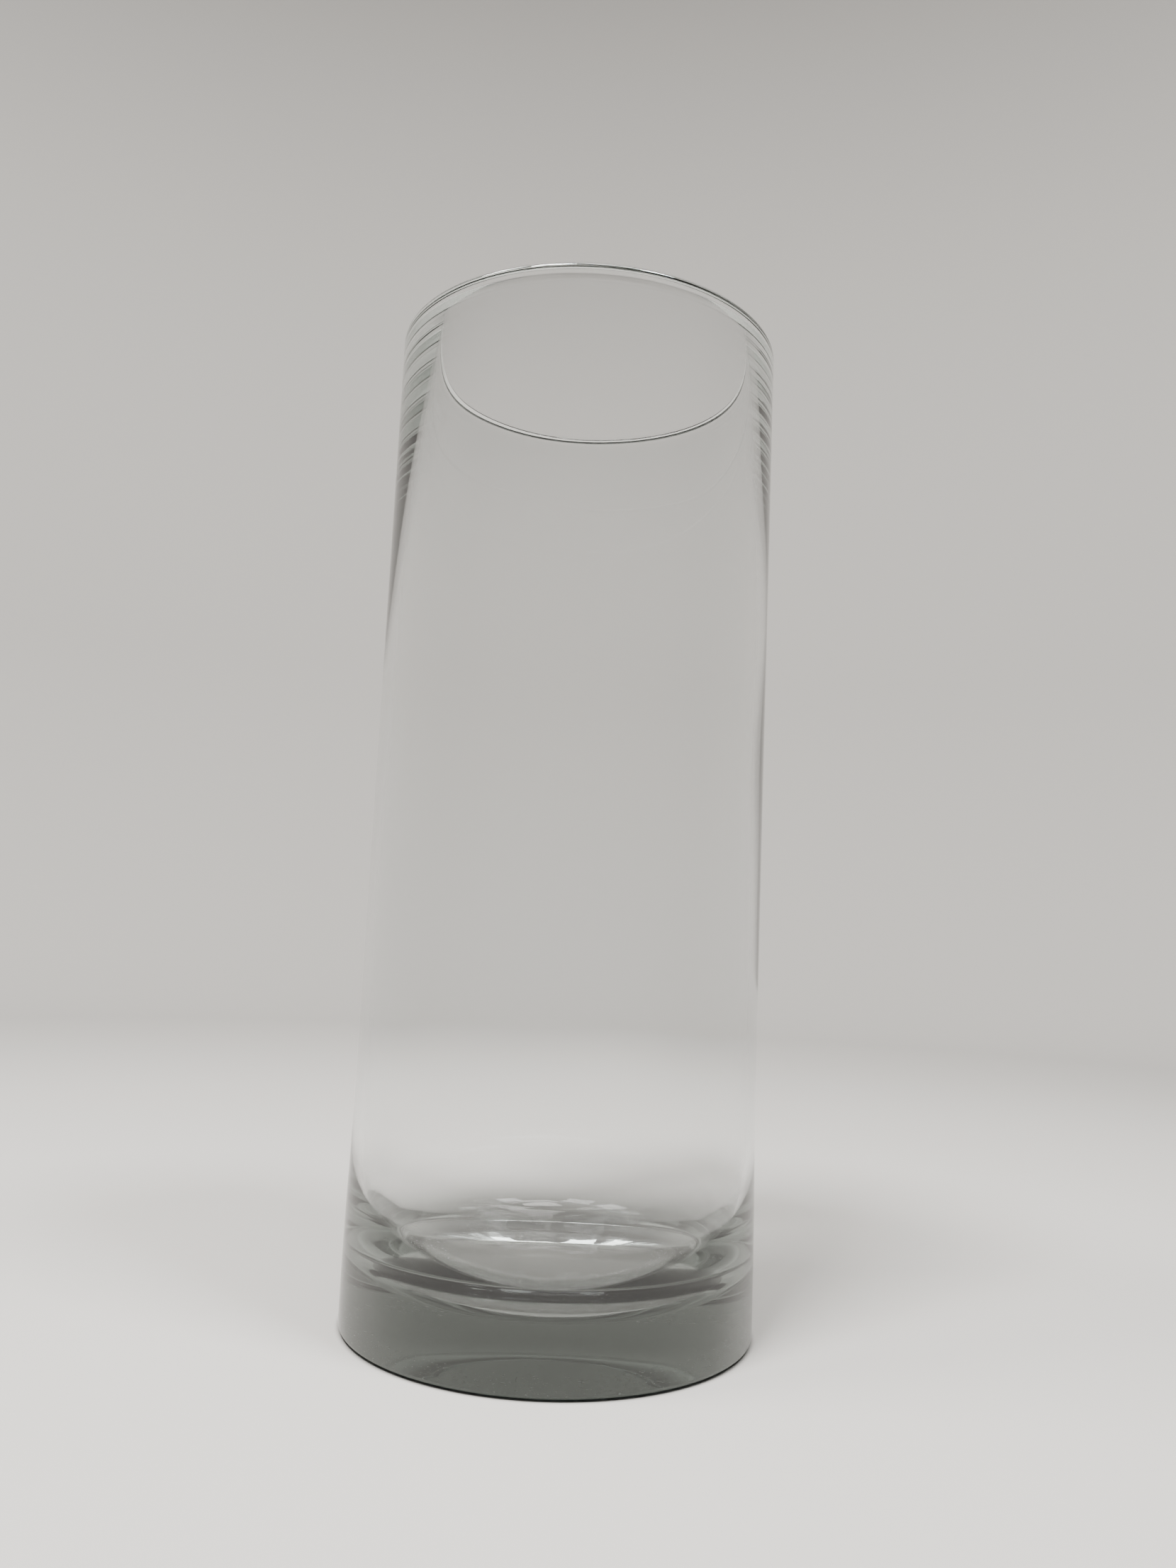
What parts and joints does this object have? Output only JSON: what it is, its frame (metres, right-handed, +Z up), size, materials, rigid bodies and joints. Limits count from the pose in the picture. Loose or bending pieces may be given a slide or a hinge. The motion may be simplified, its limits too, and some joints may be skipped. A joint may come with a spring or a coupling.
{
  "type": "glass cylinder vase",
  "caption": "Tall straight clear glass cylinder vase with a fire-polished rim, a wall that thickens towards it, and a thick base with a dished inner floor.",
  "frame": {"origin": "centre of the base, in the plane the vase stands on", "axes": "+Z up along the vase's axis, from the base to the open rim; it is round, so +X and +Y are alike"},
  "size_m": [0.101, 0.101, 0.25],
  "materials": {
    "clear_glass": "clear, fire-polished, faint grey-green in the thick base"
  },
  "bodies": {
    "root": {"glass_vase": "clear_glass"}
  },
  "joints": []
}
